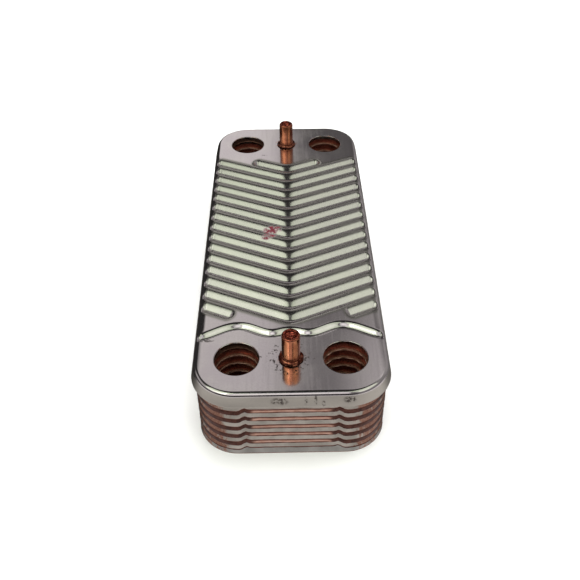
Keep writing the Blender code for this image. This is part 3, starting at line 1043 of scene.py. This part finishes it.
def seam_material():
    n = Nodes("braze_copper_seam")
    names = ("band", "corner", "broad", "neck", "lip")
    band, corner, broad, neck, lip = (n.mark(name) for name in names)
    cloud = n.noise(260, 5.0, 0.65)
    fine = n.noise(2400, 3.0)
    light = n.mix(n.remap(cloud, 0.3, 0.72), (0.56, 0.35, 0.265), (0.42, 0.23, 0.165))
    dark_mottle = n.remap(n.noise(620, 5.0, 0.7), 0.36, 0.64)
    dark = n.mix(dark_mottle, (0.20, 0.075, 0.052), (0.07, 0.028, 0.02))
    # A broad seam is pale below its dark upper edge, and burnt all over at the corners.
    uneven = n.remap(cloud, 0.3, 0.7, -0.05, 0.05, smooth=False)
    pale = n.math("MULTIPLY", n.remap(n.math("ADD", band, uneven), 0.16, 0.34), broad)
    burnt = n.remap(n.math("ADD", corner, n.math("MULTIPLY", uneven, 4.0)), 0.15, 0.85)
    pale = n.math("MULTIPLY", pale, n.math("SUBTRACT", 1.0, burnt))
    dark = n.mix(n.math("MULTIPLY", burnt, 0.6), dark, (0.035, 0.014, 0.01))
    colour = n.mix(pale, dark, light)
    neck_copper = n.mix(n.remap(cloud, 0.35, 0.65), (0.42, 0.12, 0.08), (0.17, 0.045, 0.03))
    # Painted highlight: the necks' lips are pale copper, standing in for the softboxes'
    # reflection in them.
    lip_highlight = n.math("MULTIPLY", lip, n.remap(cloud, 0.3, 0.55, 0.35, 1.0))
    neck_copper = n.mix(lip_highlight, neck_copper, (0.85, 0.56, 0.46))
    colour = n.mix(neck, colour, neck_copper)
    rough = n.remap(cloud, 0.3, 0.7, 0.3, 0.46)
    rough = n.math("SUBTRACT", rough, n.math("MULTIPLY", neck, 0.1))
    metal = n.math("SUBTRACT", 1.0, n.math("MULTIPLY", neck, 0.3))
    n.bump(n.math("ADD", cloud, n.math("MULTIPLY", fine, 0.5)), 0.35, 0.00012)
    return n.finish(colour, rough, metal)


def stud_material():
    n = Nodes("glossy_copper_stud")
    inner = n.mark("inner")
    cloud = n.noise(240, 4.0, 0.6)
    drawn = n.noise(1500, 3.0, 0.5, stretch=(1, 1, 0.05))
    colour = n.mix(n.remap(cloud, 0.35, 0.7), (0.54, 0.21, 0.115), (0.40, 0.13, 0.07))
    # The rolled top and the inside of the hole are darker, in a mottled red.
    dark_mottle = n.remap(n.noise(900, 4.0, 0.7), 0.4, 0.62)
    dark_top_and_hole = n.mix(dark_mottle, (0.40, 0.09, 0.06), (0.10, 0.02, 0.015))
    colour = n.mix(inner, colour, dark_top_and_hole)
    rough = n.remap(cloud, 0.3, 0.7, 0.17, 0.26)
    rough = n.math("ADD", rough, n.remap(drawn, 0.4, 0.75, 0.0, 0.08))
    n.bump(n.math("ADD", drawn, n.math("MULTIPLY", cloud, 0.5)), 0.12, 0.00008)
    return n.finish(colour, rough)


def collar_material():
    n = Nodes("braze_collar_copper")
    band = n.mark("band")
    cloud = n.noise(500, 5.0, 0.7)
    fine = n.noise(2600, 3.0)
    colour = n.mix(n.remap(cloud, 0.35, 0.65), (0.40, 0.15, 0.09), (0.13, 0.035, 0.025))
    burnt = n.math("MULTIPLY", n.remap(band, 0.9, 1.0), n.remap(cloud, 0.35, 0.6))
    colour = n.mix(burnt, colour, (0.09, 0.028, 0.02))
    rough = n.remap(fine, 0.3, 0.7, 0.16, 0.36)
    n.bump(n.math("ADD", cloud, n.math("MULTIPLY", fine, 0.4)), 0.5, 0.0002)
    return n.finish(colour, rough)


def floor_material():
    n = Nodes("pale_paper")
    paper = n.noise(60, 4.0)
    colour = n.mix(n.remap(paper, 0.3, 0.7), (0.93, 0.93, 0.93), (0.95, 0.95, 0.95))
    n.bump(n.noise(900, 3.0), 0.03, 0.0002)
    return n.finish(colour, 0.8, 0.0)


# Stage -----------------------------------------------------------------------------


def make_floor():
    mesh = bpy.data.meshes.new("floor")
    reach = 3.0
    corners = [(-reach, -reach, 0), (reach, -reach, 0), (reach, reach, 0), (-reach, reach, 0)]
    mesh.from_pydata(corners, [], [(0, 1, 2, 3)])
    mesh.materials.append(floor_material())
    floor = bpy.data.objects.new("floor", mesh)
    bpy.context.scene.collection.objects.link(floor)
    # The metal mirrors the studio round it and not the paper.
    floor.visible_glossy = False


def softbox(name, direction, distance, size, power, colour, glossy=True, diffuse=True):
    """A rectangular lamp that faces the object from a direction, unseen by the camera."""
    light = bpy.data.lights.new(name, "AREA")
    light.shape = "RECTANGLE"
    light.size, light.size_y = size
    light.energy = power
    light.color = colour
    lamp = bpy.data.objects.new(name, light)
    way = Vector(direction).normalized()
    lamp.location = way * distance
    lamp.rotation_euler = way.to_track_quat("Z", "Y").to_euler()
    lamp.visible_camera = False
    lamp.visible_glossy = glossy
    lamp.visible_diffuse = diffuse
    bpy.context.scene.collection.objects.link(lamp)


def world_glow():
    """Soft studio surroundings: pale behind on the left, dim on the right and in front."""
    world = bpy.data.worlds.new("studio")
    bpy.context.scene.world = world
    world.use_nodes = True
    tree = world.node_tree
    background = tree.nodes["Background"]
    coords = tree.nodes.new("ShaderNodeTexCoord")
    axes = tree.nodes.new("ShaderNodeSeparateXYZ")
    tree.links.new(coords.outputs["Generated"], axes.inputs[0])

    def ranged(socket, a, b, c, d):
        made = tree.nodes.new("ShaderNodeMapRange")
        made.interpolation_type = "SMOOTHSTEP"
        tree.links.new(socket, made.inputs["Value"])
        for key, number in zip(RANGE_INPUTS, (a, b, c, d)):
            made.inputs[key].default_value = number
        return made.outputs[0]

    def both(kind, a, b):
        made = tree.nodes.new("ShaderNodeMath")
        made.operation = kind
        for value, socket in zip((a, b), made.inputs):
            if hasattr(value, "is_linked"):
                tree.links.new(value, socket)
            else:
                socket.default_value = value
        return made.outputs[0]

    x, y, z = axes.outputs
    times = lambda *parts: functools.reduce(lambda a, b: both("MULTIPLY", a, b), parts)
    plus = lambda *parts: functools.reduce(lambda a, b: both("ADD", a, b), parts)
    # Behind: bright on the left, dim on the right, and brighter again far to the right.
    behind = times(ranged(y, 0.2, 0.5, 0.0, 1.0), ranged(z, 0.78, 0.9, 1.0, 0.0))
    lit = times(ranged(x, -0.02, 0.024, 1.0, 0.0), ranged(x, -0.36, -0.22, 0.0, 1.0))
    left = times(lit, ranged(z, 0.12, 0.34, 0.0, 1.0), ranged(z, 0.35, 0.8, 0.9, 0.64))
    away = times(ranged(x, 0.06, 0.13, 0.0, 0.40), ranged(z, 0.62, 0.74, 0.0, 1.0))
    dim = times(ranged(x, -0.02, 0.024, 0.0, 1.0), plus(ranged(z, 0.45, 0.74, 0.085, 0.19), away))
    # Far to the left, low: a pale wall that only the grooves' blunt ends see.
    side = times(ranged(x, -0.66, -0.8, 0.0, 0.5), ranged(z, 0.1, 0.25, 0.0, 1.0))
    side = times(side, ranged(z, 0.6, 0.75, 1.0, 0.0), ranged(y, 0.45, 0.6, 1.0, 0.0))
    # In front: a bright band above eye level on the left, and the table's grey below it.
    front = times(ranged(y, -0.3, -0.5, 0.0, 1.25), ranged(z, 0.28, 0.42, 0.0, 1.0))
    front = times(front, ranged(z, 0.7, 0.85, 1.0, 0.0), ranged(x, 0.0, 0.2, 1.0, 0.2))
    table = times(ranged(y, 0.45, 0.0, 0.0, 0.8), ranged(z, -0.2, -0.32, 0.0, 1.0))
    right = times(ranged(x, 0.25, 0.6, 0.0, 0.26), ranged(z, -0.6, 0.3, 0.3, 1.0))
    glow = plus(times(behind, plus(left, dim)), side, front, table, right, 0.03)
    tint = tree.nodes.new("ShaderNodeMix")
    tint.data_type = "RGBA"
    tree.links.new(glow, tint.inputs[0])
    tint.inputs[6].default_value = BLACK
    tint.inputs[7].default_value = GLOW_TINT
    # The camera itself sees the same pale paper as the floor.
    path = tree.nodes.new("ShaderNodeLightPath")
    seen = tree.nodes.new("ShaderNodeMix")
    seen.data_type = "RGBA"
    tree.links.new(path.outputs["Is Camera Ray"], seen.inputs[0])
    tree.links.new(tint.outputs[2], seen.inputs[6])
    seen.inputs[7].default_value = PALE_PAPER
    tree.links.new(seen.outputs[2], background.inputs["Color"])
    background.inputs["Strength"].default_value = 1.0


def make_lights():
    world_glow()
    softbox("softbox_left", (-0.52, -0.39, 0.78), 1.4, (1.04, 1.15), 4.2, GREENISH_LIGHT)
    softbox("softbox_right", (0.52, -0.36, 0.78), 1.4, (1.04, 1.05), 2.7, GREENISH_LIGHT)
    softbox("apex_fill", (0.0, -0.62, 0.78), 1.4, (0.42, 0.5), 0.33, WHITE)
    way = (-0.36, -0.62, 0.69)
    softbox("strip_lamp", way, 1.3, (0.09, 0.30), 0.27, WARM_WHITE, diffuse=False)
    softbox("floor_wash", (0.1, 0.2, 1.0), 1.8, (2.2, 2.2), 58.0, WHITE, glossy=False)


def make_camera():
    data = bpy.data.cameras.new("camera")
    data.sensor_width = 36.0
    data.lens = 46.09
    data.clip_start = 0.01
    data.shift_x = -0.00086
    data.shift_y = 0.00086
    camera = bpy.data.objects.new("camera", data)
    bpy.context.scene.collection.objects.link(camera)
    forward = Vector((0.006507, 0.754556, -0.656204))
    up = Vector((0.016274, 0.656051, 0.754541))
    right = forward.cross(up).normalized()
    up = right.cross(forward).normalized()
    turn = Matrix((right, up, -forward.normalized())).transposed().to_4x4()
    place = Vector((-1.549, -265.911, TOP + 196.901)) * MM
    camera.matrix_world = Matrix.Translation(place) @ turn
    bpy.context.scene.camera = camera


make_cover(cover_material())
steel = plate_material("furnace_dulled_stainless", (0.58, 0.55, 0.485), 1.0)
for number, plate in enumerate(PLATES):
    make_plate(number, plate, steel)
make_back(plate_material("furnace_dulled_back", (0.46, 0.455, 0.42), 0.8))
make_seams(seam_material())
stud_copper = stud_material()
braze_copper = collar_material()
for end in ("near", "far"):
    make_stud(f"threaded_stud_{end}", stud_copper)
    make_collar(f"stud_braze_{end}", braze_copper)
make_floor()
make_lights()
make_camera()
bpy.context.scene.view_settings.view_transform = "Standard"
